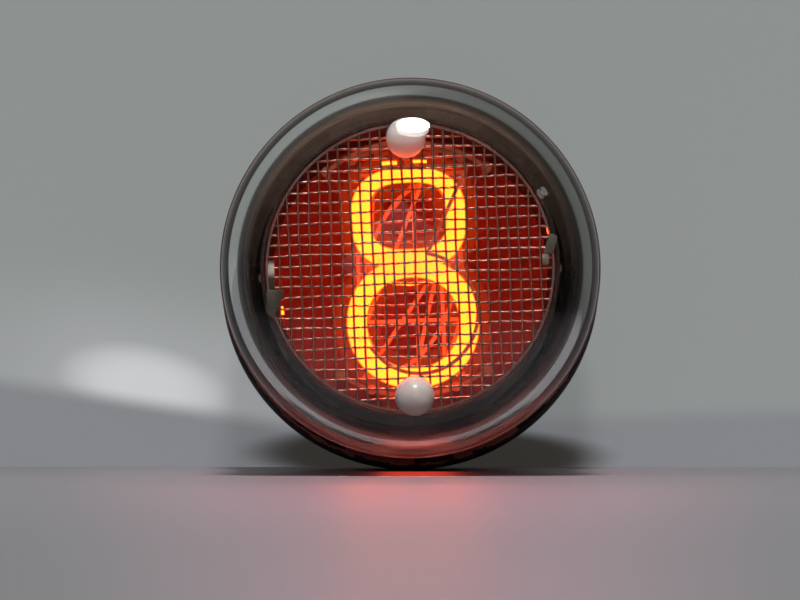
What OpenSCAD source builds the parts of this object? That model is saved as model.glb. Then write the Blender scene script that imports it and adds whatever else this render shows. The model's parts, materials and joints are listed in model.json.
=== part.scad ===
// End-view digital indicator tube: ten sheet-metal numerals stand one behind another in a glass
// bulb, behind a wire mesh, and the bulb is cemented into a moulded plug-in base with eleven pins.
// The tube stands on its pin tips with the dome up. The origin is on the axis at the pin tips,
// +Z runs towards the dome and +Y is the way up of the numerals.

/* [Bulb] */
// Outer diameter of the glass
bulb_d = 30; // [29.5:0.5:32]
// Thickness of the glass
bulb_wall = 1.2; // [0.8:0.1:1.4]
// Height of the dome's top over the pin tips
tube_h = 65; // [62:1:80]
// Radius of the shoulder between the wall and the dome
shoulder_r = 4.5; // [3:0.5:6]
// Radius of the shallow dome
dome_r = 24; // [20:1:36]

/* [Base] */
// Thickness of the base's wall round the cement joint
joint_wall = 1; // [0.8:0.1:3]
// Width of the cement joint round the glass
cement_w = 0.5; // [0.3:0.1:0.7]
// Height of the moulded base
base_h = 16; // [14:0.5:18]
// Thickness of the base's skirt below the glass
skirt_wall = 1.6; // [1.2:0.1:2]
// Thickness of the base's floor
base_floor = 2.2; // [1.5:0.1:3]
// Rounding of the base's upper and lower edges
base_edge_r = 0.4; // [0.2:0.1:0.5]
// Diameter of the locating spigot
spigot_d = 8.4; // [7.6:0.2:12]
// Length of the locating spigot below the base
spigot_l = 6.5; // [4:0.5:7]
// Wall of the hollow spigot
spigot_wall = 1.2; // [0.8:0.1:1.4]
// Width of the key rib on the spigot
key_w = 1.8; // [1:0.1:2.5]
// Height of the key rib over the spigot
key_h = 1; // [0.5:0.1:1.4]

/* [Pins] */
// Diameter of a pin
pin_d = 2.36; // [1.6:0.02:3]
// Length of a pin below the base
pin_l = 8; // [7.5:0.5:12]
// Diameter of the circle that the pins stand on
pin_circle_d = 19.05; // [18:0.05:20]
// Wall of the hollow pin
pin_wall = 0.35; // [0.2:0.05:0.5]
// Rounding of the pin's tip
pin_tip_r = 0.5; // [0.2:0.1:0.7]
// Depth of the solder's top below the end of the pin's collar
solder_drop = 0.4; // [0.1:0.1:0.5]
// Width by which a pin is thicker in the base than below it
root_w = 0.12; // [0.05:0.01:0.2]
// Width of the collar that seats a pin on the base's floor
collar_w = 0.5; // [0.3:0.1:0.8]

/* [Stem] */
// Thickness of the pressed glass stem
stem_t = 2.6; // [2:0.2:3.4]
// Depth of the stem's top below the base's rim
stem_drop = 1.5; // [1.1:0.1:2]
// Outer diameter of the exhaust tip
tip_d = 4.4; // [3:0.2:5]
// Length of the exhaust tip below the stem
tip_l = 13; // [8:0.5:15]

/* [Leads] */
// Diameter of a lead wire
lead_d = 0.5; // [0.3:0.05:0.6]
// Diameter of a support wire
support_d = 0.8; // [0.6:0.05:1]
// Height of the glass fillet round a lead
fillet_h = 0.9; // [0.5:0.1:1.5]
// Width of the fillet's foot round a lead
fillet_w = 0.6; // [0.4:0.1:0.8]
// Straight length of a lead over the stem, before it leans
straight_low = 4; // [2:0.5:6]
// Straight length of a lead below the back plate, after it leaned
straight_high = 4; // [2:0.5:6]
// Angle between neighbouring leads beside the upper rod
fan_upper = 13; // [11:0.5:14]
// Angle between neighbouring leads beside the lower rod
fan_lower = 16; // [14:0.5:18]

/* [Anode] */
// Depth of the mesh's middle below the dome's top
mesh_drop = 8.4; // [7.5:0.1:10]
// Room between the anode can and the glass
side_room = 2.1; // [1.6:0.1:2.3]
// Thickness of the rim's sheet
rim_t = 0.12; // [0.08:0.01:0.16]
// Width of the lips that the rim folds over the mesh
rim_lip = 0.22; // [0.18:0.02:0.4]
// Diameter of a mesh wire
wire_d = 0.16; // [0.1:0.01:0.18]
// Distance from one mesh wire to the next
mesh_pitch = 0.82; // [0.7:0.01:1.5]
// Thickness of the anode can's sheet
can_t = 0.25; // [0.15:0.05:0.35]
// Width of the single strap between rim and can
strap_w = 2.1; // [1.5:0.1:3]
// Length of a strap down the can's side
strap_l = 2.5; // [1.5:0.1:4]

/* [Numerals] */
// Height of a numeral
numeral_h = 16.7; // [14:0.1:17]
// Width of a numeral
numeral_w = 9.1; // [7:0.1:9.6]
// Depth of the numerals' middle below the middle of the rods
numeral_drop = 0.3; // [0:0.1:0.5]
// Distance from one numeral to the next behind it
level_pitch = 1.3; // [1:0.05:1.4]
// Thickness of a numeral's sheet
numeral_t = 0.15; // [0.1:0.05:0.25]
// Width of a numeral's stroke
stroke_w = 0.3; // [0.24:0.02:0.6]
// Distance from the front numeral to the mesh
front_gap = 1.5; // [1:0.1:2]
// Distance from the last numeral to the back plate
back_gap = 1.5; // [1:0.1:2]
// Thickness of the ceramic back plate
plate_t = 1; // [0.6:0.1:1.5]
// Distance from the middle of a rod to the mesh's outer edge
rod_inset = 1.3; // [1.1:0.05:1.4]
// Diameter of a rod
rod_d = 0.6; // [0.4:0.05:0.7]
// Wall of a ceramic spacer
spacer_wall = 0.3; // [0.2:0.05:0.35]
// Diameter of the glass bead on a rod's end
bead_d = 3.1; // [2:0.1:3.2]

/* [Getter] */
// Middle diameter of the getter ring
getter_d = 6; // [4:0.5:9]
// Width of the getter's channel
getter_w = 1.1; // [0.8:0.1:1.5]
// Height of the getter's channel
getter_h = 0.9; // [0.6:0.1:1.2]
// Height of the getter over the stem
getter_rise = 8; // [6:0.5:10]
// Diameter of the getter's holding wire
holder_d = 0.5; // [0.3:0.05:0.6]

/* [Lacquer] */
// Thickness of the filter lacquer
lacquer_t = 0.12; // [0.05:0.01:0.2]
// Bare glass between the lacquer's edge and the shoulder
bare_glass = 0.3; // [0:0.1:2]
// Bare flat left round the base's face
bare_rim = 0.1; // [0:0.05:0.3]

/* [Hidden] */
$fn = 48;

film_gap = 0.02;                      // between a film, a seal or a weld and what it lies on
slip_gap = 0.05;                      // round a part that slides into a hole
touch_gap = 0.005;                    // between the mesh's middle and each of its two layers
overlap = 0.1;                        // by which shapes of one piece run into each other
knuckle = 1.08;                       // width of a wire's bend, as a share of the wire's

// Bulb
bulb_r = bulb_d / 2;
bore_r = bulb_r - bulb_wall;
dome_z = tube_h - dome_r;             // centre of the dome's sphere
shoulder_z = dome_z + sqrt(pow(dome_r - shoulder_r, 2) - pow(bulb_r - shoulder_r, 2));
shoulder_angle = acos((bulb_r - shoulder_r) / (dome_r - shoulder_r));

// Base
joint_r = bulb_r + cement_w;          // outer radius of the cement joint
base_r = joint_r + joint_wall;
base_top = pin_l + base_h;
floor_top = pin_l + base_floor;
skirt_r = base_r - skirt_wall;
lip_h = 1;                            // lip of the base that closes the cement joint
ledge_w = 0.6;                        // ledge under the end of the glass, inside its bore
ledge_r = bore_r - ledge_w;
ledge_h = 1.4;
spigot_r = spigot_d / 2;
spigot_bore_r = spigot_r - spigot_wall;
spigot_z = pin_l - spigot_l;

// Stem
stem_top = base_top - stem_drop;
stem_z = stem_top - stem_t;
stem_r = bore_r - film_gap;
stem_edge = 0.6;                      // rounding of the stem's edges
tip_r = tip_d / 2;
tip_wall = 1;
seal_depth = stem_t * 2 / 3;          // of a support wire in the stem

// Pins stand evenly on their circle, with the key between the first and the last
pin_count = 11;
pin_r = pin_d / 2;
pin_bore_r = pin_r - pin_wall;
root_r = pin_r + root_w;
collar_r = pin_r + collar_w;
collar_h = 0.5;
solder_top = floor_top + collar_h - solder_drop;
pin_circle_r = pin_circle_d / 2;
function pin_angle(i) = 90 + (i + 0.5) * 360 / pin_count;
anode_pin = 5;                        // the pin opposite the key

// Mesh in its rim, with the upright wires in front of the level ones
mesh_z = tube_h - mesh_drop;
layer_z = wire_d / 2 + touch_gap;
mesh_half = layer_z + wire_d / 2;
rim_half = mesh_half + film_gap + rim_t;
rim_r = bore_r - side_room - can_t - 2 * slip_gap;
wire_end_r = rim_r - rim_t - film_gap;

// Can, with the rim in its mouth and the back plate on its folded rear edge
can_bore_r = rim_r + 2 * slip_gap;
can_r = can_bore_r + can_t;
can_top = mesh_z + rim_half;
can_lip = 0.5;
strap_t = 0.2;
rim_hold = 0.05;                      // by which a strap clears the lip's inner edge

// Numerals, from the front to the back
ORDER = [3, 8, 9, 4, 0, 5, 7, 2, 6, 1];
front_z = mesh_z - front_gap;
last_z = front_z - (len(ORDER) - 1) * level_pitch;
plate_top = last_z - back_gap;
plate_z = plate_top - plate_t;
can_z = plate_z - can_t;
function level_of(digit) = search(digit, ORDER)[0];
function numeral_z(digit) = front_z - level_of(digit) * level_pitch;

// Rods, spacers and beads
rod_r = rod_d / 2;
rod_y = rim_r - rod_inset;
rod_bore_r = rod_r + slip_gap / 2;
spacer_r = rod_bore_r + spacer_wall;
eyelet_lap = 0.06;                    // by which an eyelet stands out round a spacer
eyelet_r = spacer_r + eyelet_lap;
head_w = 0.2;                         // by which a rod's head stands out
head_r = rod_r + head_w;
head_h = 0.35;
bead_r = bead_d / 2;
bead_z = mesh_z + mesh_half + bead_r;
rod_end_z = bead_z + bead_r / 2;

// A lead comes up from its pin, fans in under the back plate and ends under its numeral's arm.
// Three pairs of leads end beside the upper rod and two beside the lower one. The pair nearest
// to a rod serves the numerals farthest back, so that no arm passes over another lead.
lead_r = lead_d / 2;
weld_w = 0.15;                        // by which an arm's end stands out round its lead
support_r = support_d / 2;
support_x = can_r + support_r + film_gap / 2;
support_lap = 3.5;                    // length of a support wire beside the can
fan_low_z = stem_top + straight_low;
fan_high_z = plate_z - straight_high;
PAIR_LEVELS = [8, 4, 0, 2, 6];        // place of the numeral that each pair serves, from the key
function pair_of(i) = i < anode_pin ? i : pin_count - 1 - i;
function pin_side(i) = i < anode_pin ? 0 : 1;
function served_level(i) = PAIR_LEVELS[pair_of(i)] + pin_side(i);
function pin_of(digit) =
    [for (i = [0:pin_count - 1]) if (i != anode_pin && served_level(i) == level_of(digit)) i][0];
function is_upper(i) = pair_of(i) < 3;
function rod_angle(i) = is_upper(i) ? 90 : 270;
// Angle of a lead's upper end, away from its own rod and towards its own side
function fan_angle(i) =
    (is_upper(i) ? fan_upper * (pair_of(i) + 1) : fan_lower * (5.25 - pair_of(i)))
    * (is_upper(i) == (pin_side(i) == 0) ? 1 : -1);
function end_angle(i) = rod_angle(i) + fan_angle(i);

// Getter
getter_r = getter_d / 2;
getter_t = 0.15;
getter_top = stem_top + getter_rise;
holder_r = holder_d / 2;
holder_rise = 0.8;

// Lacquer, with chips over the base's face: first angle, last angle, first and last radius
// as shares of the face
lacquer_top = shoulder_z - bare_glass;
face_r = base_r - base_edge_r - bare_rim;
CHIPS = [[208, 243, 0.45, 0.85], [268, 283, -0.2, 0.75], [307, 314, 0.6, 1.3]];

// A point at a radius, an angle and a height
function at(r, a, z) = [r * cos(a), r * sin(a), z];

// Points on an arc round a centre
function arc(centre, r, from, to, steps) =
    [for (i = [0:steps]) let (a = from + (to - from) * i / steps)
        centre + [r * cos(a), r * sin(a)]];

function reversed(list) = [for (i = [len(list) - 1:-1:0]) list[i]];

// A round wire along points, with a knuckle a little wider than the wire at each bend
module wire(points, r) {
    for (i = [0:len(points) - 2]) {
        step = points[i + 1] - points[i];
        translate(points[i])
            rotate([0, acos(step[2] / norm(step)), atan2(step[1], step[0])]) {
                cylinder(r = r, h = norm(step));
                if (i > 0) sphere(r = r * knuckle);
            }
    }
}

// ---- Glass and lacquer ----

// Shoulder and dome of the half section, from the wall to the axis
function crown(inset) = concat(
    arc([bulb_r - shoulder_r, shoulder_z], shoulder_r - inset, 0, shoulder_angle, 14),
    [for (p = arc([0, dome_z], dome_r - inset, shoulder_angle, 90, 16)) if (p[0] < bulb_r - shoulder_r) p]
);

module glass_bulb() {
    color([0.80, 0.84, 0.82, 0.3])
        rotate_extrude()
            polygon(concat([[bulb_r, stem_z]], crown(0), reversed(crown(bulb_wall)), [[bore_r, stem_z]]));
}

// Ragged outline of a chip in the lacquer over the base's face
module chip(from, to, inner, outer) {
    steps = 3 * ceil((to - from) / 4);
    width = face_r - bulb_r;
    function ragged(a, share, phase) =
        bulb_r + width * (share + 0.13 * sin(47 * a + phase) + 0.09 * sin(101 * a + 2 * phase));
    function edge(share, phase) =
        [for (i = [0:steps]) let (a = from + (to - from) * i / steps, r = ragged(a, share, phase))
            [r * cos(a), r * sin(a)]];
    translate([0, 0, base_top - 1])
        linear_extrude(height = lacquer_t + 1.5)
            polygon(concat(edge(outer, 0), reversed(edge(inner, 60))));
}

// One film: a sleeve on the glass and a skirt over the base's face
module filter_lacquer() {
    sleeve_r = bulb_r + film_gap;
    color([0.32, 0.10, 0.08])
        difference() {
            rotate_extrude()
                polygon([
                    [sleeve_r, base_top], [face_r, base_top], [face_r, base_top + lacquer_t / 2],
                    [face_r - lacquer_t / 2, base_top + lacquer_t],
                    [sleeve_r + 2 * lacquer_t, base_top + lacquer_t],
                    [sleeve_r + lacquer_t, base_top + 2 * lacquer_t],
                    [sleeve_r + lacquer_t, lacquer_top - lacquer_t],
                    [sleeve_r + lacquer_t / 2, lacquer_top], [sleeve_r, lacquer_top]
                ]);
            for (c = CHIPS) chip(c[0], c[1], c[2], c[3]);
        }
}

module fillet(r) {
    translate([0, 0, stem_top - overlap])
        cylinder(r1 = r + fillet_w, r2 = r + fillet_w / 6, h = fillet_h + overlap);
}

// Pressed disc with a fillet round each wire and the sealed exhaust tip below
module glass_stem() {
    tip_bore_r = tip_r - tip_wall;
    tip_centre = [0, stem_z - tip_l + tip_r];
    color([0.72, 0.80, 0.76, 0.5])
        difference() {
            union() {
                rotate_extrude()
                    polygon(concat(
                        arc([tip_bore_r + stem_edge, stem_top - stem_edge], stem_edge, 180, 90, 4),
                        [[stem_r - stem_edge, stem_top], [stem_r, stem_top + stem_edge], [stem_r, stem_z]],
                        arc([tip_r + stem_edge, stem_z - stem_edge], stem_edge, 90, 180, 4),
                        arc(tip_centre, tip_r, 0, -90, 8),
                        arc(tip_centre, tip_bore_r, -90, 0, 8)
                    ));
                for (i = [0:pin_count - 1])
                    translate(at(pin_circle_r, pin_angle(i), 0)) fillet(lead_r);
            }
            for (i = [0:pin_count - 1])
                translate(at(pin_circle_r, pin_angle(i), stem_z - 1))
                    cylinder(r = lead_r, h = stem_t + fillet_h + 2);
            for (side = [-1, 1])
                translate([side * support_x, 0, stem_top - seal_depth])
                    cylinder(r = support_r, h = seal_depth + 1);
        }
}

// ---- Base and pins ----

module base_shell() {
    color([0.07, 0.06, 0.06])
        difference() {
            union() {
                rotate_extrude()
                    polygon(concat(
                        [[0, spigot_z], [spigot_r - base_edge_r, spigot_z]],
                        [[spigot_r, spigot_z + base_edge_r], [spigot_r, pin_l]],
                        arc([base_r - base_edge_r, pin_l + base_edge_r], base_edge_r, -90, 0, 6),
                        arc([base_r - base_edge_r, base_top - base_edge_r], base_edge_r, 0, 90, 6),
                        [[bulb_r + slip_gap, base_top], [bulb_r + slip_gap, base_top - lip_h]],
                        [[joint_r, base_top - lip_h], [joint_r, stem_z], [ledge_r, stem_z]],
                        [[ledge_r, stem_z - ledge_h], [skirt_r, stem_z - ledge_h - (skirt_r - ledge_r)]],
                        [[skirt_r, floor_top], [0, floor_top]]
                    ));
                translate([-key_w / 2, 0, spigot_z])
                    cube([key_w, spigot_r + key_h, spigot_l + base_floor / 2]);
            }
            translate([0, 0, spigot_z + spigot_wall])
                cylinder(r = spigot_bore_r, h = spigot_l + base_floor);
            for (i = [0:pin_count - 1])
                translate(at(pin_circle_r, pin_angle(i), pin_l - 1))
                    cylinder(r = root_r, h = base_floor + 2);
        }
}

// Cement between the glass and the base, under the lip
module base_cement() {
    color([0.70, 0.67, 0.60])
        rotate_extrude()
            polygon([
                [bulb_r, stem_z], [joint_r, stem_z], [joint_r, base_top - lip_h], [bulb_r, base_top - lip_h]
            ]);
}

// Pin full of solder, with a collar on the base's floor
module pin(i) {
    color([0.72, 0.66, 0.50])
        translate(at(pin_circle_r, pin_angle(i), 0))
            rotate_extrude()
                polygon(concat(
                    [[0, 0]],
                    arc([pin_r - pin_tip_r, pin_tip_r], pin_tip_r, -90, 0, 6),
                    [[pin_r, pin_l], [root_r, pin_l], [root_r, floor_top]],
                    [[collar_r, floor_top], [collar_r, floor_top + collar_h]],
                    [[pin_bore_r, floor_top + collar_h], [pin_bore_r, solder_top], [0, solder_top]]
                ));
}

// ---- Leads and supports ----

module lead(digit) {
    i = pin_of(digit);
    color([0.62, 0.60, 0.58])
        wire([
            at(pin_circle_r, pin_angle(i), solder_top), at(pin_circle_r, pin_angle(i), fan_low_z),
            at(rod_y, end_angle(i), fan_high_z), at(rod_y, end_angle(i), numeral_z(digit))
        ], lead_r);
}

// The anode's lead ends under the can's folded edge
module lead_anode() {
    a = pin_angle(anode_pin);
    end_r = can_r - can_lip / 2 - can_t / 2;
    color([0.62, 0.60, 0.58])
        wire([
            at(pin_circle_r, a, solder_top), at(pin_circle_r, a, fan_low_z),
            at(end_r, a, fan_high_z), at(end_r, a, can_z)
        ], lead_r);
}

module support(side) {
    foot_z = stem_top - seal_depth;
    color([0.50, 0.49, 0.48])
        translate([side * support_x, 0, foot_z])
            cylinder(r = support_r, h = can_z + support_lap - foot_z);
}

// ---- Anode ----

// Half length of a wire at a distance u from the middle, where its outer side meets the rim
function reach(u) = sqrt(pow(wire_end_r, 2) - pow(abs(u) + wire_d / 2, 2));

// Half of the gap that a rod's hole leaves in a wire that passes the rod at a distance d
rod_hole_r = rod_bore_r + 2 * slip_gap + wire_d / 2;
function rod_gap(d) = d < rod_hole_r ? sqrt(pow(rod_hole_r, 2) - pow(d, 2)) : 0;

// Places of the wires on both sides of the middle, which is a gap
wires_a_side = floor((wire_end_r - wire_d) / mesh_pitch + 0.5);
WIRE_PLACES = [for (k = [-wires_a_side:wires_a_side - 1]) (k + 0.5) * mesh_pitch];

// A straight length of mesh wire, parallel to Y
module mesh_wire(x, y0, y1) {
    translate([x, y0, 0]) rotate([-90, 0, 0]) cylinder(r = wire_d / 2, h = y1 - y0);
}

module anode_mesh() {
    color([0.55, 0.50, 0.48])
        translate([0, 0, mesh_z]) {
            for (x = WIRE_PLACES, gap = rod_gap(abs(x)))
                translate([0, 0, layer_z]) {
                    end = gap > 0 ? rod_y - gap : reach(x);
                    mesh_wire(x, -end, end);
                    if (gap > 0) {
                        mesh_wire(x, rod_y + gap, reach(x));
                        mesh_wire(x, -reach(x), -rod_y - gap);
                    }
                }
            for (y = WIRE_PLACES, gap = rod_gap(rod_y - abs(y)))
                translate([0, 0, -layer_z]) rotate([0, 0, -90])
                    if (gap > 0) {
                        mesh_wire(-y, gap, reach(y));
                        mesh_wire(-y, -reach(y), -gap);
                    } else {
                        mesh_wire(-y, -reach(y), reach(y));
                    }
        }
}

// Strip folded round the edge of the mesh
module mesh_rim() {
    slot = rim_half - rim_t;
    color([0.78, 0.76, 0.73])
        translate([0, 0, mesh_z])
            rotate_extrude()
                polygon([
                    [rim_r, -rim_half], [rim_r, rim_half - rim_t / 2], [rim_r - rim_t / 2, rim_half],
                    [rim_r - rim_lip, rim_half], [rim_r - rim_lip, slot], [rim_r - rim_t, slot],
                    [rim_r - rim_t, -slot], [rim_r - rim_lip, -slot], [rim_r - rim_lip, -rim_half]
                ]);
}

module anode_can() {
    color([0.42, 0.40, 0.39])
        rotate_extrude()
            polygon([
                [can_bore_r - can_lip, can_z], [can_r - can_t / 2, can_z], [can_r, can_z + can_t / 2],
                [can_r, can_top], [can_bore_r, can_top], [can_bore_r, plate_z],
                [can_bore_r - can_lip, plate_z]
            ]);
}

// Strip bent over the rim's edge and down the can's side
module strap(angle, width) {
    inner = rim_r - rim_lip + rim_hold;
    side = can_r + film_gap;
    color([0.70, 0.68, 0.65])
        rotate([0, 0, angle])
            translate([0, width / 2, can_top])
                rotate([90, 0, 0])
                    linear_extrude(height = width)
                        polygon([
                            [inner, 0], [side, 0], [side, -strap_l], [side + strap_t, -strap_l],
                            [side + strap_t, strap_t / 2], [side + strap_t / 2, strap_t], [inner, strap_t]
                        ]);
}

// ---- Numerals ----

// Points of an oval, where square = 2 is an ellipse and more is squarer
function oval(centre, rx, ry, from, to, steps, square = 2) =
    [for (i = [0:steps]) let (a = from + (to - from) * i / steps, c = cos(a), s = sin(a))
        centre + [rx * sign(c) * pow(abs(c), 2 / square), ry * sign(s) * pow(abs(s), 2 / square)]];

function ring(centre, rx, ry, square) = oval(centre, rx, ry, 0, 352.5, 47, square);

function bend(p, q, r, steps) =
    [for (i = [0:steps]) let (t = i / steps) p * pow(1 - t, 2) + q * 2 * t * (1 - t) + r * pow(t, 2)];

function turned(points) = [for (p = points) -p];

// Centrelines of each numeral, as shares of half its width and half its height: closed rings
six_ring = ring([0, -0.44], 0.92, 0.54, 2.1);
six_stem = oval([0.55, -0.44], 1.47, 1.38, 102, 171, 12);
RINGS = [
    [ring([0, 0], 0.92, 0.97, 2.3)], [], [], [], [], [], [six_ring], [],
    [ring([0, 0.5], 0.83, 0.43, 2.8), ring([0.02, -0.46], 0.98, 0.54, 2.1)], [turned(six_ring)]
];
// and open strokes
STROKES = [
    [],
    [[[-0.3, 0.66], [0.1, 0.92], [0.1, -0.98]]],
    [concat(oval([0, 0.5], 0.9, 0.45, 165, -32, 20), [[-0.88, -0.97], [0.92, -0.97]])],
    [concat([[-0.83, 0.99], [1.05, 0.99]], oval([0.13, -0.39], 1.02, 0.57, 80, -147, 24))],
    [[[0.3, 0.92], [-0.8, -0.45], [0.95, -0.45]], [[0.55, 0.1], [0.55, -0.97]]],
    [concat([[0.85, 0.97], [-0.6, 0.97]], oval([-0.02, -0.38], 0.92, 0.59, 138, -150, 24))],
    [six_stem],
    [concat([[-0.85, 0.99]], bend([1.05, 0.99], [0.3, -0.2], [0.05, -0.97], 12))],
    [],
    [turned(six_stem)]
];
// Where the tabs from the rods meet each numeral, upper x and y, lower x and y
JOINTS = [
    [0, 0.97, 0, -0.97], [0.1, 0.92, 0.1, -0.97], [0, 0.95, 0.05, -0.97], [0.1, 0.99, 0.13, -0.96],
    [0.3, 0.92, 0.55, -0.97], [0, 0.97, -0.02, -0.97], [0.26, 0.91, 0, -0.98], [0.1, 0.99, 0.05, -0.97],
    [0, 0.93, 0.02, -1], [0, 0.98, -0.26, -0.91]
];
function placed(p) = [p[0] * numeral_w / 2, p[1] * numeral_h / 2 - numeral_drop];

// Corner i of a line, moved out sideways so that both its legs move by the same distance
function beside(points, i, closed, distance) =
    let (n = len(points),
         a = closed || i > 0 ? points[i] - points[(i + n - 1) % n] : points[1] - points[0],
         b = closed || i < n - 1 ? points[(i + 1) % n] - points[i] : a,
         u = [-a[1], a[0]] / norm(a), v = [-b[1], b[0]] / norm(b))
    points[i] + (u + v) * distance / (1 + u * v);

module stroke(points) {
    last = len(points) - 1;
    linear_extrude(height = numeral_t)
        polygon(concat(
            [for (i = [0:last]) beside(points, i, false, stroke_w / 2)],
            [for (i = [last:-1:0]) beside(points, i, false, -stroke_w / 2)]
        ));
}

module hoop(points) {
    last = len(points) - 1;
    linear_extrude(height = numeral_t)
        difference() {
            polygon([for (i = [0:last]) beside(points, i, true, -stroke_w / 2)]);
            polygon([for (i = [0:last]) beside(points, i, true, stroke_w / 2)]);
        }
}

// Sheet numeral with a tab to each rod, an eyelet on each and an arm to its own lead
module numeral(digit) {
    i = pin_of(digit);
    joint = JOINTS[digit];
    color([0.45, 0.38, 0.34])
        translate([0, 0, numeral_z(digit)])
            difference() {
                union() {
                    for (line = RINGS[digit]) hoop([for (p = line) placed(p)]);
                    for (line = STROKES[digit]) stroke([for (p = line) placed(p)]);
                    stroke([[0, rod_y], placed([joint[0], joint[1]])]);
                    stroke([[0, -rod_y], placed([joint[2], joint[3]])]);
                    stroke(arc([0, 0], rod_y, rod_angle(i), end_angle(i), 10));
                    for (side = [-1, 1])
                        translate([0, side * rod_y, 0]) cylinder(r = eyelet_r, h = numeral_t);
                    translate(at(rod_y, end_angle(i), 0)) cylinder(r = lead_r + weld_w, h = numeral_t);
                }
                for (side = [-1, 1])
                    translate([0, side * rod_y, -1]) cylinder(r = rod_bore_r, h = numeral_t + 2);
            }
}

// ---- Rods and what sits on them ----

module back_plate() {
    color([0.85, 0.84, 0.80])
        difference() {
            translate([0, 0, plate_z]) cylinder(r = can_bore_r - slip_gap, h = plate_t);
            for (side = [-1, 1])
                translate([0, side * rod_y, plate_z - 1]) cylinder(r = rod_bore_r, h = plate_t + 2);
            for (i = [0:pin_count - 1])
                if (i != anode_pin)
                    translate(at(rod_y, end_angle(i), plate_z - 1))
                        cylinder(r = lead_r + slip_gap, h = plate_t + 2);
        }
}

module rod(side) {
    color([0.60, 0.58, 0.55])
        translate([0, side * rod_y, 0]) {
            translate([0, 0, plate_z - head_h]) cylinder(r = head_r, h = head_h);
            translate([0, 0, plate_z - overlap]) cylinder(r = rod_r, h = rod_end_z - plate_z + overlap);
        }
}

module bead(side) {
    color([0.93, 0.91, 0.89])
        translate([0, side * rod_y, bead_z])
            difference() {
                sphere(r = bead_r);
                translate([0, 0, -bead_r - 1]) cylinder(r = rod_bore_r, h = rod_end_z - bead_z + bead_r + 1);
            }
}

module spacer(z0, z1) {
    translate([0, 0, z0])
        difference() {
            cylinder(r = spacer_r, h = z1 - z0);
            translate([0, 0, -1]) cylinder(r = rod_bore_r, h = z1 - z0 + 2);
        }
}

// Ceramic tubes on one rod: a long one on the plate, one between each two numerals, and one
// under the mesh
module spacers(side) {
    color([0.90, 0.89, 0.85])
        translate([0, side * rod_y, 0]) {
            spacer(plate_top, last_z);
            for (level = [1:len(ORDER) - 1])
                spacer(front_z - level * level_pitch + numeral_t, front_z - (level - 1) * level_pitch);
            spacer(front_z + numeral_t, mesh_z - mesh_half - film_gap);
        }
}

// ---- Getter ----

// Channel ring, open downwards
module getter_ring() {
    half = getter_w / 2;
    color([0.35, 0.34, 0.36])
        translate([0, 0, getter_top - getter_h])
            rotate_extrude()
                polygon([
                    [getter_r - half, 0], [getter_r - half, getter_h], [getter_r + half, getter_h],
                    [getter_r + half, 0], [getter_r + half - getter_t, 0],
                    [getter_r + half - getter_t, getter_h - getter_t],
                    [getter_r - half + getter_t, getter_h - getter_t], [getter_r - half + getter_t, 0]
                ]);
}

// Wire from the getter's back to the right support
module getter_holder() {
    color([0.50, 0.49, 0.48])
        wire([
            [getter_r, 0, getter_top], [getter_r, 0, getter_top + holder_rise],
            [support_x - support_r - film_gap, 0, getter_top + holder_rise]
        ], holder_r);
}

glass_bulb();
filter_lacquer();
base_shell();
base_cement();
glass_stem();
for (i = [0:10]) pin(i);
for (digit = [0:9]) lead(digit);
lead_anode();
for (digit = [0:9]) numeral(digit);
anode_mesh();
mesh_rim();
anode_can();
strap(187, 2 * strap_w);  // strap_left
strap(8, strap_w);  // strap_right
back_plate();
rod(1);  // rod_upper
rod(-1);  // rod_lower
bead(1);  // bead_upper
bead(-1);  // bead_lower
spacers(1);  // spacers_upper
spacers(-1);  // spacers_lower
support(-1);  // support_left
support(1);  // support_right
getter_ring();
getter_holder();
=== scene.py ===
import json
import math

import bpy
from mathutils import Matrix, Vector


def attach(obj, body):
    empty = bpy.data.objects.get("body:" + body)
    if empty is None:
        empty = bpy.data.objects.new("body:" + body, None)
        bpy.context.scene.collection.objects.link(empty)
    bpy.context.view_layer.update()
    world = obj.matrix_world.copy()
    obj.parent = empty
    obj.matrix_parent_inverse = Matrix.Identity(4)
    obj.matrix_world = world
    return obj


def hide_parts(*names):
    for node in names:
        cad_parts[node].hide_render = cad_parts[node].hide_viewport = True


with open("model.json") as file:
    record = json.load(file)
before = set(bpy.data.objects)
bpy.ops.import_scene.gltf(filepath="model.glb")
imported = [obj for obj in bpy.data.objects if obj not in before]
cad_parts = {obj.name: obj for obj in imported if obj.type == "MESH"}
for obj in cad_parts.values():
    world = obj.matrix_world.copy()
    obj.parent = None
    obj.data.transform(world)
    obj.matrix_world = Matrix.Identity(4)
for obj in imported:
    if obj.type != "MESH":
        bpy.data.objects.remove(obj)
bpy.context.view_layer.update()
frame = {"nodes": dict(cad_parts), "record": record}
nodes = frame["nodes"]
mm = 0.001
print("frame loaded:", len(nodes), "nodes")


camera = {
    "place": (-0.4, -11.6, 385.0),       # mm, above the dome
    "lens": 186.0,
    "sensor": 36.0,
    "clip": (0.01, 20.0),                # m
    "roll": 2.0,                         # degrees that the tube is turned on the screen
    "aim": (0.0, 0.0, 57.43),            # this point of the tube
    "aimAt": (410.2, 267.5),             # falls on this pixel
    "pixels": (800, 600),
}


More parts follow.
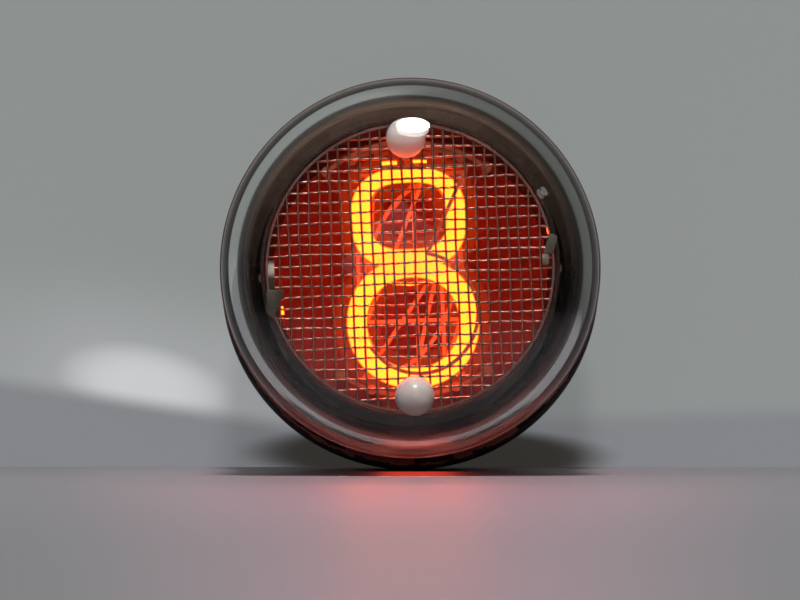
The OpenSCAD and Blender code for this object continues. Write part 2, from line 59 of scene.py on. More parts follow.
def addCamera(c):
    data = bpy.data.cameras.new("camera")
    data.lens, data.sensor_width, data.sensor_fit = c["lens"], c["sensor"], "HORIZONTAL"
    data.clip_start, data.clip_end = c["clip"]
    eye = bpy.data.objects.new("camera", data)
    bpy.context.scene.collection.objects.link(eye)
    roll = math.radians(c["roll"])
    right = Vector((math.cos(roll), -math.sin(roll), 0))
    up = Vector((math.sin(roll), math.cos(roll), 0))
    level = Matrix((right, up, (0, 0, 1))).transposed()
    focal = c["lens"] / c["sensor"] * c["pixels"][0]
    wanted = Vector(((c["aimAt"][0] - c["pixels"][0] / 2) / focal,
                     (c["pixels"][1] / 2 - c["aimAt"][1]) / focal, -1)).normalized()
    seen = level.transposed() @ (Vector(c["aim"]) - Vector(c["place"])).normalized()
    turn = level @ wanted.rotation_difference(seen).to_matrix()
    eye.matrix_world = Matrix.Translation(Vector(c["place"]) * mm) @ turn.to_4x4()
    bpy.context.scene.camera = eye


lamps = {
    # way from the dome as (polar, azimuth) in degrees, then distance and size in m
    "ceiling": {"from": (58.9, 86.9), "away": 0.55, "size": (0.107, 0.063),
                "radiance": 95, "colour": (1, 0.99, 0.97)},
    "far": {"from": (63.5, 29.0), "away": 0.6, "size": (0.034, 0.026),
            "radiance": 2.6, "colour": (1, 0.98, 0.95)},
}
domeHeight = 60                          # mm, where those lamps point

# the lit numeral's light, behind its sheet and in front: height in mm and radiance
neon = {"back": (53.6, 3.0), "front": (54.2, 13.0), "place": (-0.9, -0.3), "size": (8.5, 16.0),
        "colour": (1.0, 0.11, 0.03)}

# colours of the room at the left, the right and the front, and where they change
room = {"left": (0.40, 0.415, 0.405), "right": (0.12, 0.125, 0.12), "across": (-0.9, 0.9),
        "front": (0.012, 0.012, 0.014), "height": (-0.05, 0.5)}

# a wide soft lamp, and the numeral's red light on the board, in mm
fill = {"place": (-60.0, 60.0, 1100.0), "towards": 40, "size": (700.0, 700.0), "radiance": 0.55,
        "colour": (1.0, 0.98, 0.97)}
redLight = {"place": (0.0, -15.6, 45.0), "size": (6.0, 30.0), "radiance": 1.5,
            "colour": (1.0, 0.10, 0.04)}


def areaLamp(name, place, towards, size, radiance, colour, shape="RECTANGLE"):
    data = bpy.data.lights.new(name, "AREA")
    data.shape, data.size, data.size_y = shape, size[0], size[1]
    area = size[0] * size[1] * (math.pi / 4 if shape == "ELLIPSE" else 1)
    data.energy, data.color = radiance * math.pi * area, colour
    lamp = bpy.data.objects.new(name, data)
    bpy.context.scene.collection.objects.link(lamp)
    lamp.location = place
    lamp.rotation_euler = (Vector(towards) - Vector(place)).to_track_quat("-Z", "Y").to_euler()
    lamp.visible_camera = False
    return lamp


def addLamps():
    dome = Vector((0, 0, domeHeight * mm))
    for name, l in lamps.items():
        polar, azimuth = (math.radians(a) for a in l["from"])
        flat = math.sin(polar)
        way = Vector((flat * math.cos(azimuth), flat * math.sin(azimuth), math.cos(polar)))
        areaLamp(name, dome + way * l["away"], dome, l["size"], l["radiance"], l["colour"], "ELLIPSE")
    for name, way in (("back", -1), ("front", 1)):
        height, radiance = neon[name]
        spot = Vector((*neon["place"], height)) * mm
        lamp = areaLamp("neon" + name.title(), spot, spot + Vector((0, 0, way)),
                        [s * mm for s in neon["size"]], radiance, neon["colour"])
        lamp.visible_transmission = False
        lamp.visible_glossy = name == "back"
    soft = areaLamp("fill", Vector(fill["place"]) * mm, Vector((0, 0, fill["towards"] * mm)),
                    [s * mm for s in fill["size"]], fill["radiance"], fill["colour"])
    soft.visible_glossy = False
    low = Vector(redLight["place"]) * mm
    red = areaLamp("under", low, low + Vector((0, -1, 0)), [s * mm for s in redLight["size"]],
                   redLight["radiance"], redLight["colour"])
    red.visible_transmission = red.visible_glossy = False
    world = bpy.data.worlds.new("room")
    world.use_nodes = True
    sky = Port(world.node_tree)
    across, _, height = sky.parts(sky.node("TexCoord"))
    side = across.between(*room["across"]).tint(room["left"], room["right"])
    shade = height.between(*room["height"]).tint(side, room["front"])
    world.node_tree.links.new(shade.out, world.node_tree.nodes["Background"].inputs["Color"])
    bpy.context.scene.world = world


class Port:
    # an output of a shader node, on which arithmetic adds Math nodes
    def __init__(self, tree, out=None):
        self.tree, self.out = tree, out

    def node(self, kind, settings=None, inputs=None, take=0):
        # take is the number or the name of the output that is used
        made = self.tree.nodes.new("ShaderNode" + kind)
        for key, value in (settings or {}).items():
            setattr(made, key, value)
        for key, value in (inputs or {}).items():
            if isinstance(value, Port):
                self.tree.links.new(value.out, made.inputs[key])
            elif isinstance(value, (tuple, list)) and made.inputs[key].type == "RGBA":
                made.inputs[key].default_value = (*value[:3], 1)
            else:
                made.inputs[key].default_value = value
        return Port(self.tree, made.outputs[take])

    def math(self, operation, *values):
        return self.node("Math", {"operation": operation}, dict(enumerate(values)))

    def __add__(self, other): return self.math("ADD", self, other)
    def __radd__(self, other): return self.math("ADD", other, self)
    def __sub__(self, other): return self.math("SUBTRACT", self, other)
    def __rsub__(self, other): return self.math("SUBTRACT", other, self)
    def __mul__(self, other): return self.math("MULTIPLY", self, other)
    def __rmul__(self, other): return self.math("MULTIPLY", other, self)
    def __truediv__(self, other): return self.math("DIVIDE", self, other)

    def power(self, exponent): return self.math("POWER", self, exponent)

    def between(self, low, high):
        # 0 at low, 1 at high, held beyond
        return self.node("MapRange", {"interpolation_type": "SMOOTHSTEP"},
                         {"Value": self, "From Min": low, "From Max": high})

    def tint(self, low, high):
        # mix of two colours by this value; 6, 7 and 2 are the node's colour sockets
        return self.node("Mix", {"data_type": "RGBA"}, {0: self, 6: low, 7: high}, 2)

    def parts(self, vector):
        split = self.node("SeparateXYZ", {}, {0: vector})
        return [Port(self.tree, split.out.node.outputs[i]) for i in range(3)]

    def spot(self, scale=(1, 1, 1)):
        # place on the piece in mm, stretched by scale
        where = self.node("TexCoord", take="Object")
        return self.node("Mapping", {}, {"Vector": where, "Scale": [1000 * s for s in scale]})

    def noise(self, size, detail=3, scale=(1, 1, 1), rough=0.5, distortion=0):
        # clouds whose patches are about size mm wide
        return self.node("TexNoise", {}, {"Vector": self.spot(scale), "Scale": 1 / size, "Detail": detail,
                                          "Roughness": rough, "Distortion": distortion})

    def bump(self, height, strength, distance):
        # distance in mm
        return self.node("Bump", {}, {"Height": height, "Strength": strength, "Distance": distance * mm})

    def principled(self, **sockets):
        names = {"colour": "Base Color", "roughness": "Roughness", "metallic": "Metallic", "normal": "Normal",
                 "ior": "IOR", "glass": "Transmission Weight", "specular": "Specular IOR Level",
                 "coat": "Coat Weight", "coatRoughness": "Coat Roughness", "glow": "Emission Color",
                 "glowStrength": "Emission Strength", "scatter": "Subsurface Weight",
                 "scatterScale": "Subsurface Scale"}
        return self.node("BsdfPrincipled", {}, {names[k]: v for k, v in sockets.items()})

    def blend(self, other, factor):
        return self.node("MixShader", {}, {0: factor, 1: self, 2: other})


finishes = {}


def finish(name):
    # registers the function below it as the maker of that material
    def register(build):
        material = bpy.data.materials.new(name)
        material.use_nodes = True
        material.node_tree.nodes.clear()
        start = Port(material.node_tree)
        out = material.node_tree.nodes.new("ShaderNodeOutputMaterial")
        material.node_tree.links.new(build(start).out, out.inputs["Surface"])
        finishes[name] = material
        return build
    return register


def paint(piece, name):
    piece.data.materials.clear()
    piece.data.materials.append(finishes[name])


backdrop = {
    # in mm from the tube's axis
    "slope": 0.187, "drop": 14.7,        # the wall's lower edge and its distance below the axis
    "foot": 12.9,                        # it reaches no further down than this
    "wall": ((0.46, 0.49, 0.49), (0.40, 0.43, 0.42)), "leftGlow": (0.62, 0.645, 0.65),
    "strip": (0.36, 0.375, 0.40),        # below the wall
    # painted patch of light at the left: place, size, colour
    "patch": (-25, 1.9), "patchSize": (7, 3.4), "patchColour": (0.95, 0.98, 1.0),
    # painted contact shadow where tube and board meet: place, size, slope, colour
    "contact": (1.2, -15.4), "contactSize": (15.8, 2.6), "contactSlope": 0.05,
    "contactColour": (0.06, 0.055, 0.045),
    "throughGlass": (0.03, 0.03, 0.02),  # painted dark colour that the floor shows through the glass, for the dark side of the room
    "ownGlow": 0.45,                     # strength of its own glow
    "lampShare": 0.6,                    # share of the lamps' light that gives way to it
}


@finish("floorPaint")
def floorPaint(p):
    b = backdrop
    clouds = p.noise(60, 2)
    wide, high, _ = p.parts(p.spot())
    line = high + wide * b["slope"] + b["drop"]
    wall = (0.3 + clouds * 0.2 + high.between(-30, 40) * 0.35).tint(*b["wall"])
    # painted light: the wall is painted lighter towards the left, with a painted patch of light at the left
    left = wide.between(8, -12) * (0.45 + wide.between(-40, -27) * 0.55)
    wall = (line.between(15, 1) * left).tint(wall, b["leftGlow"])
    aside = (wide - b["patch"][0]) * (1 / b["patchSize"][0])
    above = (line - b["patch"][1]) * (1 / b["patchSize"][1])
    wall = (aside * aside + above * above).between(1.6, 0).tint(wall, b["patchColour"])
    edge = line.math("MINIMUM", line, high + b["foot"])
    colour = edge.between(-0.8, 1.4).tint(b["strip"], wall)
    # painted contact shadow: the floor's own glow turns dark in an ellipse where tube and board meet, and
    # under the tube
    beside = (wide - b["contact"][0]) * (1 / b["contactSize"][0])
    over = (high - b["contact"][1] + wide * b["contactSlope"]) * (1 / b["contactSize"][1])
    lit = (beside * beside + over * over).between(0.6, 1.4)
    lit = lit * (wide * wide + high * high).between(120, 300)
    seen, mirrored, bent = (p.node("LightPath", take="Is " + ray + " Ray")
                            for ray in ("Camera", "Glossy", "Transmission"))
    shown = seen.math("MAXIMUM", seen, mirrored.math("MAXIMUM", mirrored, bent))
    # painted view through the glass: rays through it see the floor darker, more so to the right
    colour = (bent * (0.15 + wide.between(-22, 22) * 0.6)).tint(colour, b["throughGlass"])
    return p.principled(colour=(shown * b["lampShare"]).tint(colour, (0, 0, 0)), roughness=0.75,
                        glow=shown.tint((0, 0, 0), lit.tint(b["contactColour"], colour)),
                        glowStrength=b["ownGlow"])


boardPaint = {
    "near": ((0.35, 0.335, 0.365), (0.41, 0.39, 0.425)), "far": (0.28, 0.275, 0.30),
    # pink light of the numeral: colour, height in mm of the tip to which it narrows, and its share
    # of the distance to that tip where it is gone and where it is full
    "pink": (0.86, 0.485, 0.59), "pinkTip": 385.0, "pinkShare": (0.10, 0.012),
    # what the board shows only in reflections, a painted reflection: pinkish in the middle, lighter at the
    # sides, dark further off
    "mirrored": ((0.17, 0.13, 0.14), (0.38, 0.37, 0.40)), "mirroredEnd": (0.02, 0.02, 0.02),
}


@finish("tablePaint")
def tablePaint(p):
    b = boardPaint
    clouds = p.noise(25, 2)
    wide, _, near = p.parts(p.spot())
    beside = wide.math("ABSOLUTE", wide)
    colour = near.between(40, 260).tint(clouds.tint(*b["near"]), b["far"])
    # painted pink light of the numeral on the board: it narrows towards the tip and is stronger in a band
    wedge = (beside / (b["pinkTip"] - near)).between(*b["pinkShare"])
    band = near.between(84, 106) * near.between(240, 130)
    colour = (wedge * (0.36 + band * 0.30)).tint(colour, b["pink"])
    # painted reflection: glossy rays see other colours here, and beyond the ends the board is clear to them
    mirrored = p.node("LightPath", take="Is Glossy Ray")
    below = beside.between(3, 14).tint(*b["mirrored"])
    seen = (mirrored * 0.9).tint(colour, near.between(60, 100).tint(below, b["mirroredEnd"]))
    paper = p.principled(colour=seen, roughness=0.42, specular=0.22)
    gone = mirrored * beside.between(40, 82)
    behind = p.node("NewGeometry", take="Backfacing")
    return paper.blend(p.node("BsdfTransparent"), gone.math("MAXIMUM", gone, behind))


@finish("clearGlass")
def clearGlass(p):
    waves = p.noise(9, 1)
    body = p.principled(colour=(0.965, 0.975, 0.955), roughness=0.0, ior=1.5, glass=1.0,
                        normal=p.bump(waves, 0.05, 0.3))
    veil = p.node("BsdfTransparent", {}, {"Color": (0.92, 0.93, 0.92)})
    return body.blend(veil, p.node("LightPath", take="Is Shadow Ray"))


@finish("filterLacquer")
def filterLacquer(p):
    def passing(colour):
        return p.node("BsdfTranslucent", {}, {"Color": colour})

    across, up, high = p.parts(p.spot())
    away = (across * across + up * up).power(0.5)
    streaks = p.noise(3.0, 4, (0.25, 0.25, 1.6), 0.6)
    smudge = p.noise(4.0, 4, (1, 1, 0.5), 0.6, 0.6)
    cover = (streaks * 0.6 + smudge * 0.4).between(0.3, 0.7)
    # outer face: the wall, and the skirt over the base's front, red below and olive above; the skirt carries
    # painted light: its red is lighter than the wall's, and its olive is painted light at the left and
    # painted shade at the right
    wall = cover.tint((0.26, 0.075, 0.055), (0.13, 0.045, 0.04))
    face = cover.tint((0.50, 0.15, 0.12), (0.28, 0.11, 0.095))
    olive = across.between(-14, 14).tint((0.60, 0.58, 0.46), (0.13, 0.12, 0.09))
    face = up.between(-9, 3).tint(face, olive)
    outside = p.principled(colour=high.between(24.3, 24.8).tint(face, wall), roughness=0.28,
                           coat=0.6, coatRoughness=0.12, normal=p.bump(streaks, 0.25, 0.05))
    see = p.node("BsdfTransparent", {}, {"Color": (0.42, 0.10, 0.07)})
    film = see.blend(outside, 0.66 + cover * 0.3)
    passed = film.blend(p.node("BsdfTransparent", {}, {"Color": (0.75, 0.6, 0.52)}),
                        p.node("LightPath", take="Is Shadow Ray"))
    # inner face: the colour of the light that comes through, one shader for each colour; this is painted
    # light and shade: lighter deep down, darker towards the top edge and at the right, and red below where
    # the numeral's light falls
    deep = passing((0.50, 0.37, 0.32)).blend(passing((0.95, 0.78, 0.68)), cover)
    shallow = passing((0.15, 0.115, 0.097)).blend(passing((0.31, 0.255, 0.22)), cover)
    red = passing((0.75, 0.16, 0.13)).blend(passing((0.9, 0.28, 0.24)), cover)
    brown = deep.blend(shallow, high.between(50, 55.8))
    brown = brown.blend(passing((0.06, 0.045, 0.035)), across.between(2, 14) * 0.4)
    brown = brown.blend(passing((0.03, 0.022, 0.02)), high.between(54.9, 56.0))
    brown = brown.blend(red, up.between(-5, -14))
    lining = p.principled(colour=cover.tint((0.07, 0.042, 0.035), (0.15, 0.10, 0.08)), roughness=0.5,
                          normal=p.bump(streaks, 0.2, 0.05))
    return lining.blend(brown, 0.75).blend(passed, away.between(15.02, 15.06))


@finish("blackMoulding")
def blackMoulding(p):
    grain = p.noise(0.5, 4)
    patches = p.noise(6, 2)
    return p.principled(colour=patches.tint((0.011, 0.010, 0.010), (0.022, 0.019, 0.018)),
                        roughness=0.33 + patches * 0.2, normal=p.bump(grain, 0.25, 0.03))


@finish("cement")
def cement(p):
    grit = p.noise(0.3, 5)
    return p.principled(colour=grit.tint((0.36, 0.31, 0.24), (0.62, 0.57, 0.48)), roughness=0.9,
                        normal=p.bump(grit, 0.5, 0.1))


@finish("stemGlass")
def stemGlass(p):
    waves = p.noise(2.5, 2)
    body = p.principled(colour=(0.82, 0.90, 0.86), roughness=0.03, ior=1.5, glass=1.0,
                        normal=p.bump(waves, 0.2, 0.2))
    return body.blend(p.node("BsdfTransparent", {}, {"Color": (0.8, 0.85, 0.82)}),
                      p.node("LightPath", take="Is Shadow Ray"))


def metal(p, dark, light, roughness, grainSize, grainScale, patchSize, bump=0.15):
    # sizes in mm; the colour wanders between dark and light in patches
    grain = p.noise(grainSize, 3, grainScale)
    patches = p.noise(patchSize, 3)
    return p.principled(colour=patches.tint(dark, light), metallic=1.0, roughness=roughness + patches * 0.15,
                        normal=p.bump(grain, bump, 0.02))


@finish("pinMetal")
def pinMetal(p):
    return metal(p, (0.42, 0.36, 0.26), (0.62, 0.57, 0.47), 0.22, 0.25, (1, 1, 0.15), 1.5, 0.3)


@finish("leadWire")
def leadWire(p):
    return metal(p, (0.34, 0.28, 0.24), (0.55, 0.50, 0.46), 0.28, 0.1, (1, 1, 0.2), 1.2)


@finish("numeralSheet")
def numeralSheet(p):
    # reddish orange all over: painted light of the glowing numeral on the metal
    return metal(p, (0.41, 0.15, 0.075), (0.60, 0.25, 0.14), 0.24, 0.3, (1, 1, 1), 1.2)


@finish("meshWire")
def meshWire(p):
    # painted shade where a wire faces sideways, as the upright ones do, and painted light on the level ones;
    # both carry a painted red cast from the numeral's light
    aside = p.parts(p.node("NewGeometry", take="Normal"))[0]
    aside = aside.math("ABSOLUTE", aside).between(0.04, 0.36)
    patches = p.noise(0.7, 3)
    bright = patches.tint((0.30, 0.135, 0.10), (0.70, 0.35, 0.27))
    colour = aside.tint(bright, patches.tint((0.08, 0.032, 0.02), (0.15, 0.066, 0.042)))
    return p.principled(colour=colour, metallic=0.8, roughness=0.15 + patches * 0.12,
                        normal=p.bump(p.noise(0.12, 3), 0.15, 0.02))


@finish("brightSheet")
def brightSheet(p):
    return metal(p, (0.55, 0.51, 0.47), (0.72, 0.69, 0.65), 0.2, 0.3, (1, 1, 1), 1.0)


@finish("rimSheet")
def rimSheet(p):
    return metal(p, (0.12, 0.10, 0.09), (0.26, 0.22, 0.20), 0.2, 0.3, (1, 1, 1), 2.0)


@finish("tabSheet")
def tabSheet(p):
    across, up, _ = p.parts(p.spot())
    grain = p.noise(0.2, 3)
    patches = p.noise(0.9, 2)
    # painted highlight: a light spot near the top of the left tab
    shine = up.between(-0.5, 0.2) * up.between(0.85, 0.5) * across.between(-9, -10)
    dull = across.between(-1, 1).tint(patches.tint((0.045, 0.04, 0.03), (0.12, 0.105, 0.08)),
                                      patches.tint((0.12, 0.12, 0.095), (0.27, 0.27, 0.225)))
    return p.principled(colour=shine.tint(dull, (0.62, 0.57, 0.53)), metallic=0.6,
                        roughness=0.3 + patches * 0.15, normal=p.bump(grain, 0.06, 0.02))


@finish("canSheet")
def canSheet(p):
    return metal(p, (0.03, 0.025, 0.024), (0.07, 0.055, 0.05), 0.42, 0.3, (1, 1, 0.3), 3.0)


@finish("whiteCeramic")
def whiteCeramic(p):
    grain = p.noise(0.25, 4)
    plateTone = p.noise(3, 3)
    # dark red all over: painted shade and painted red light of the numeral on the ceramic, varied in patches
    return p.principled(colour=plateTone.tint((0.20, 0.020, 0.008), (0.30, 0.042, 0.022)), roughness=0.8,
                        specular=0.1, normal=p.bump(grain, 0.2, 0.03))


@finish("milkGlass")
def milkGlass(p):
    haze = p.noise(1.2, 2)
    _, up, _ = p.parts(p.spot())
    # painted glow: the upper bead's lower side gives off the numeral's orange light
    numeralGlowMask = up.between(10.9, 8.7) * up.between(5, 8)
    return p.principled(colour=haze.tint((0.60, 0.54, 0.545), (0.68, 0.63, 0.635)), roughness=0.22,
                        scatter=0.4, scatterScale=0.6 * mm, coat=0.3,
                        glow=numeralGlowMask.tint((0, 0, 0), (0.42, 0.06, 0.03)), glowStrength=0.8)


@finish("getterMetal")
def getterMetal(p):
    return metal(p, (0.10, 0.10, 0.11), (0.30, 0.29, 0.31), 0.4, 0.2, (1, 1, 1), 1.0)


@finish("neonGlow")
def neonGlow(p):
    facing = p.parts(p.node("NewGeometry", take="Normal"))[2]
    facing = facing.math("ABSOLUTE", facing)
    heat = p.node("Emission", {}, {"Color": (1.0, 0.094, 0.0055), "Strength": 12.0})
    clear = p.node("BsdfTransparent")
    return clear.blend(heat, facing.between(0.1, 0.7) * 0.2 + facing.between(0.62, 0.86) * 0.8)


@finish("neonHaze")
def neonHaze(p):
    facing = p.parts(p.node("NewGeometry", take="Normal"))[2]
    facing = facing.math("ABSOLUTE", facing)
    heat = p.node("Emission", {}, {"Color": (1.0, 0.07, 0.004), "Strength": 1.0})
    clear = p.node("BsdfTransparent")
    return clear.blend(heat, facing.between(0.2, 1.0) * 0.14)


slotFinish = {
    "clear_glass": "clearGlass", "filter_lacquer": "filterLacquer", "black_moulding": "blackMoulding",
    "cement": "cement", "stem_glass": "stemGlass", "pin_metal": "pinMetal", "lead_wire": "leadWire",
    "numeral_sheet": "numeralSheet", "glowing_numeral": "numeralSheet", "mesh_wire": "meshWire",
    "bright_sheet": "brightSheet", "can_sheet": "canSheet", "white_ceramic": "whiteCeramic",
    "milk_glass": "milkGlass", "getter_metal": "getterMetal",
}


def clearSelection():
    if bpy.context.object and bpy.context.mode != "OBJECT":
        bpy.ops.object.mode_set(mode="OBJECT")
    bpy.ops.object.select_all(action="DESELECT")


def pick(piece):
    # the one piece that the next operators act on
    clearSelection()
    piece.select_set(True)
    bpy.context.view_layer.objects.active = piece


def named(name):
    piece = bpy.context.object
    piece.name = piece.data.name = name
    return piece


def smooth(piece, angle):
    pick(piece)
    bpy.ops.object.shade_smooth_by_angle(angle=math.radians(angle))


def drawProfile(name, profile):
    # a line of vertices from one merged down to a point, extruded along the profile, in mm
    clearSelection()
    bpy.ops.mesh.primitive_plane_add(size=mm)
    piece = named(name)
    bpy.ops.object.mode_set(mode="EDIT")
    bpy.ops.mesh.merge(type="CENTER")
    bpy.ops.transform.translate(value=Vector(profile[0]) * mm)
    for a, b in zip(profile, profile[1:]):
        bpy.ops.mesh.extrude_region_move(TRANSFORM_OT_translate={"value": (Vector(b) - Vector(a)) * mm})
    bpy.ops.mesh.select_all(action="SELECT")
    return piece


def lathe(name, profile, steps, angle):
    # profile of (radius, height) in mm, closed if it ends where it starts or on the axis
    piece = drawProfile(name, [(r, 0, z) for r, z in profile])
    bpy.ops.mesh.spin(steps=steps, angle=2 * math.pi, center=(0, 0, 0), axis=(0, 0, 1))
    bpy.ops.mesh.select_all(action="SELECT")
    bpy.ops.mesh.remove_doubles(threshold=0.002 * mm)
    bpy.ops.mesh.normals_make_consistent(inside=False)
    bpy.ops.object.mode_set(mode="OBJECT")
    smooth(piece, angle)
    return piece


def arc(centre, r, start, end, steps):
    turns = [math.radians(start + (end - start) * i / steps) for i in range(steps + 1)]
    return [(centre[0] + r * math.cos(a), centre[1] + r * math.sin(a)) for a in turns]


def strands(name, paths, radius, roundness=2, closed=False, widths=None):
    # wires along lists of points, in mm; widths gives a share of the radius for a point
    clearSelection()
    bpy.ops.curve.primitive_nurbs_path_add()
    piece = named(name)
    shape = piece.data
    shape.splines.clear()
    for path in paths:
        spline = shape.splines.new("POLY")
        spline.points.add(len(path) - 1)
        for point, spot in zip(spline.points, path):
            point.co = (*(Vector(spot) * mm), 1)
            point.radius = widths(spot) if widths else 1
        spline.use_cyclic_u = closed
    shape.bevel_depth, shape.bevel_resolution, shape.use_fill_caps = radius * mm, roundness, True
    bpy.ops.object.convert(target="MESH")
    piece = named(name)
    bpy.ops.object.mode_set(mode="EDIT")
    bpy.ops.mesh.select_all(action="SELECT")
    bpy.ops.mesh.remove_doubles(threshold=0.001 * mm)
    bpy.ops.mesh.normals_make_consistent(inside=False)
    bpy.ops.object.mode_set(mode="OBJECT")
    smooth(piece, 50)
    return piece


def place(piece, slot, finishName, *replaced):
    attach(piece, "root")
    if replaced:
        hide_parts(*replaced)
    paint(piece, finishName)


bulb = {"r": 15.0, "wall": 1.2, "top": 65.0, "bottom": 19.9, "shoulderR": 4.5, "domeR": 24.0,
        "arcSteps": 22, "footSteps": 10, "sides": 160}


def crown(b, inset):
    # shoulder and dome of the half section, from the wall to the axis
    domeZ = b["top"] - b["domeR"]
    across, slant = b["r"] - b["shoulderR"], b["domeR"] - b["shoulderR"]
    shoulderZ = domeZ + math.sqrt(slant ** 2 - across ** 2)
    joint = math.degrees(math.acos(across / slant))
    shoulder = arc((across, shoulderZ), b["shoulderR"] - inset, 0, joint, b["arcSteps"])
    dome = arc((0, domeZ), b["domeR"] - inset, joint, 90, b["arcSteps"])[1:]
    return shoulder + dome


def bulbGlass(b):
    outer, inner = crown(b, 0), crown(b, b["wall"])
    foot = arc((b["r"] - b["wall"] / 2, b["bottom"] + b["wall"] / 2), b["wall"] / 2, 0, -180, b["footSteps"])
    piece = lathe("bulbGlass", outer[::-1] + foot + inner, b["sides"], 60)
    place(piece, "clear_glass", "clearGlass", "glass_bulb")


def apply(piece, kind, **settings):
    pick(piece)
    modifier = piece.modifiers.new(kind, kind)
    for key, value in settings.items():
        setattr(modifier, key, value)
    bpy.ops.object.modifier_apply(modifier=modifier.name)


def plate(name, outline, low, high):
    # flat closed outline in mm, raised from low to high
    piece = drawProfile(name, [(x, y, low) for x, y in outline])
    bpy.ops.mesh.edge_face_add()
    bpy.ops.mesh.extrude_region_move(TRANSFORM_OT_translate={"value": (0, 0, (high - low) * mm)})
    bpy.ops.mesh.select_all(action="SELECT")
    bpy.ops.mesh.normals_make_consistent(inside=False)
    bpy.ops.object.mode_set(mode="OBJECT")
    return piece


def cut(piece, tool, operation="DIFFERENCE"):
    apply(piece, "BOOLEAN", object=tool, operation=operation, solver="EXACT")
    bpy.data.objects.remove(tool)


lacquer = {
    "onGlass": 14.985, "outer": 15.12, "topEdge": 57.13, "rim": 24.0, "film": 0.12, "skirt": 16.15,
    "trim": 16.08, "sides": 200,
    # unevenness of a flaked edge in mm, and its waves: share, how many round the tube, step of the phase
    "ragged": 0.055, "waves": ((1.0, 29, 1), (0.7, 61, 2), (0.5, 127, 3), (0.4, 211, 5)),
    # start and end angle, inner and outer radius
    "chips": [(203, 247, 15.15, 15.82), (269, 282, 14.8, 16.0), (304, 316, 15.7, 16.5),
              (288, 293, 15.85, 16.5), (250, 262, 15.95, 16.5)],
}


def flaked(q, radius, angle, phase):
    return radius + q["ragged"] * sum(a * math.sin(math.radians(f * angle) + phase * k)
                                      for a, f, k in q["waves"])


def around(q, radius, start, end, phase, step=0.5):
    steps = max(2, round(abs(end - start) / step))
    points = []
    for i in range(steps):
        angle = start + (end - start) * i / steps
        r = flaked(q, radius, angle, phase)
        points.append((r * math.cos(math.radians(angle)), r * math.sin(math.radians(angle))))
    return points


def lacquerFilm(q):
    r, t, low = q["onGlass"], q["film"], q["rim"]
    piece = lathe("lacquerFilm", [
        (r, q["topEdge"]), (q["outer"] - t / 3, q["topEdge"]), (q["outer"], q["topEdge"] - t / 2),
        (q["outer"], low + 2.5 * t), (q["outer"] + t / 3, low + 1.5 * t), (q["outer"] + t, low + t),
        (q["skirt"] + 0.3, low + t), (q["skirt"] + 0.3, low), (r + 0.03, low), (r, low + t),
        (r, q["topEdge"])], q["sides"], 40)
    cut(piece, plate("trim", around(q, q["trim"], 0, 360, 0.4, 0.6), low - 1, q["topEdge"] + 1), "INTERSECT")
    for start, end, inner, outer in q["chips"]:
        outline = around(q, inner, start, end, inner) + around(q, outer, end, start, outer + 1)
        cut(piece, plate("chip", outline, low - 1, low + 2.2 * t))
    smooth(piece, 40)
    place(piece, "filter_lacquer", "filterLacquer", "filter_lacquer")


weave = {
    "z": 56.6, "pitch": 0.82, "wire": 0.092, "wires": 13, "reach": 11.21, "layer": 0.085, "bulge": 0.07,
    "rod": 10.05, "hole": 0.6,           # where the rods come through, and half the hole left for them
    # how far a wire strays, and its waves from wire to wire and along it
    "wander": 0.045, "uprightWaves": (0.9, 0.55), "levelWaves": (1.7, 0.8), "ripple": (0.02, 7.3),
    "steps": 4,                          # for each pitch of length
}


def halfLength(w, at):
    # half of a wire that lies at this distance from the middle
    return math.sqrt(w["reach"] ** 2 - (abs(at) + w["wire"]) ** 2)


def wireMesh(w):
    paths = []
    for k in range(-w["wires"], w["wires"]):
        at = (k + 0.5) * w["pitch"]
        half = halfLength(w, at)
        end = w["rod"] - w["hole"] if abs(at) < w["hole"] else half
        count = round(w["steps"] * end / w["pitch"])
        step, along = w["uprightWaves"]
        upright = []
        for i in range(-count, count + 1):
            s = end * i / count
            upright.append((at + w["wander"] * math.sin(step * k + along * s), s, w["z"] + w["layer"]))
        paths.append(upright)
        gap = w["hole"] if abs(abs(at) - w["rod"]) < w["hole"] else 0
        for side in ((-1, 1) if gap else (0,)):
            start, stop = (-half, half) if side == 0 else sorted((side * gap, side * half))
            count = max(6, round(w["steps"] * (stop - start) / w["pitch"]))
            step, along = w["levelWaves"]
            ripple, ripples = w["ripple"]
            level = []
            for i in range(count + 1):
                s = start + (stop - start) * i / count
                bulge = 0.5 - 0.5 * math.cos(2 * math.pi * (s / w["pitch"] - 0.5))
                stray = w["wander"] * math.sin(step * k + along * s)
                level.append((s, at + stray + ripple * math.sin(ripples * s + k),
                              w["z"] - w["layer"] + w["bulge"] * bulge))
            paths.append(level)
    piece = strands("wireMesh", paths, w["wire"])
    place(piece, "mesh_wire", "meshWire", "anode_mesh")


tabs = {
    "thickness": 0.1, "edge": 0.025,
    # outline in mm, height, lean about the level and the upright axis in degrees
    "left": [
        ([(-11.15, 0.95), (-10.62, 0.95), (-10.6, -1.45), (-11.2, -1.45)], 56.74, (0, 0)),
        ([(-11.26, -1.36), (-9.88, -1.45), (-10.04, -1.8), (-10.7, -3.53), (-10.79, -3.68),
          (-11.42, -3.1), (-11.29, -2.07)], 56.94, (6, -4)),
    ],
    "right": [
        ([(11.18, 2.29), (11.57, 2.05), (11.48, 1.62), (11.16, 0.69), (10.46, 0.8), (10.78, 1.78),
          (11.04, 2.2)], 57.0, (-10, 6)),
        ([(10.34, 0.72), (10.88, 0.70), (10.86, -0.1), (10.6, -0.2), (10.36, -0.12)], 56.8, (4, 0)),
    ],
}


